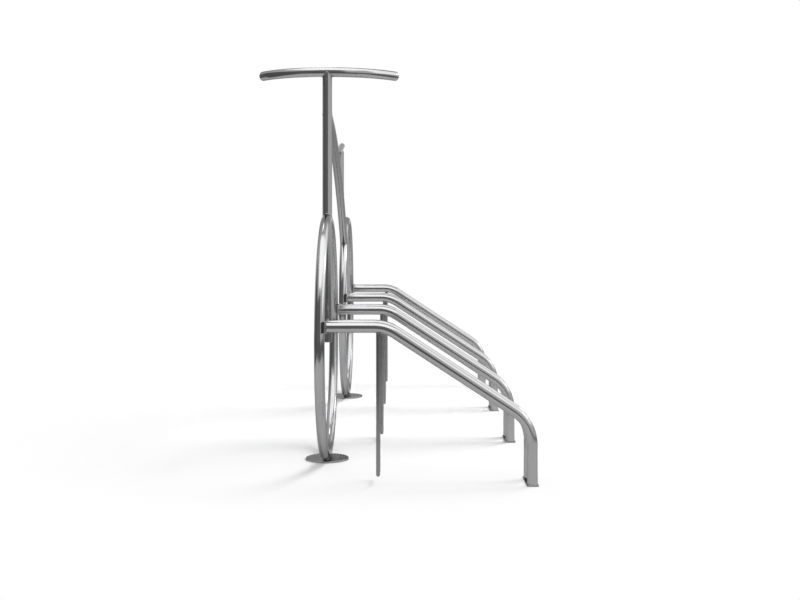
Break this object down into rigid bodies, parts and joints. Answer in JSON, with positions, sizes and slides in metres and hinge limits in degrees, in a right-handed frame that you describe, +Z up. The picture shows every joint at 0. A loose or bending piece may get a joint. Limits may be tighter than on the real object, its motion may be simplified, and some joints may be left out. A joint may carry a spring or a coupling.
{
  "type": "bike parking stand",
  "caption": "Bicycle-shaped parking stand of welded steel tube, with wheel slots of paired bent tubes on one side.",
  "frame": {"origin": "on the floor, at the middle of the stand's footprint box", "axes": "+Z up; +Y along the bicycle from its front wheel to its rear wheel; +X from the bicycle outline towards the parking arms' feet"},
  "size_m": [0.75, 1.905, 1.0948],
  "materials": {
    "tube_steel": "polished stainless tube with fine lengthwise brushing",
    "plate_steel": "satin stainless flat bar and plate",
    "rod_steel": "drawn stainless rod, satin",
    "plug_steel": "turned stainless plugs"
  },
  "bodies": {
    "root": {"front_wheel_ring": "tube_steel", "rear_wheel_ring": "tube_steel", "fork_post": "tube_steel", "fork_stub": "tube_steel", "handlebar": "tube_steel", "frame_tube": "tube_steel", "seat_post": "tube_steel", "saddle_tube": "tube_steel", "front_base_disc": "plate_steel", "rear_base_disc": "plate_steel", "fork_stub_plug": "plug_steel", "handlebar_plug_left": "plug_steel", "handlebar_plug_right": "plug_steel", "saddle_plug_front": "plug_steel", "saddle_plug_rear": "plug_steel", "arm_1_front_tube": "tube_steel", "arm_1_rear_tube": "tube_steel", "arm_1_ring_plate": "plate_steel", "arm_1_foot_plate": "plate_steel", "arm_1_wheel_hoop": "rod_steel", "arm_2_front_tube": "tube_steel", "arm_2_rear_tube": "tube_steel", "arm_2_ring_plate": "plate_steel", "arm_2_foot_plate": "plate_steel", "arm_2_wheel_hoop": "rod_steel", "arm_3_front_tube": "tube_steel", "arm_3_rear_tube": "tube_steel", "arm_3_ring_plate": "plate_steel", "arm_3_foot_plate": "plate_steel", "arm_3_wheel_hoop": "rod_steel", "arm_4_front_tube": "tube_steel", "arm_4_rear_tube": "tube_steel", "arm_4_ring_plate": "plate_steel", "arm_4_foot_plate": "plate_steel", "arm_4_wheel_hoop": "rod_steel"}
  },
  "joints": []
}
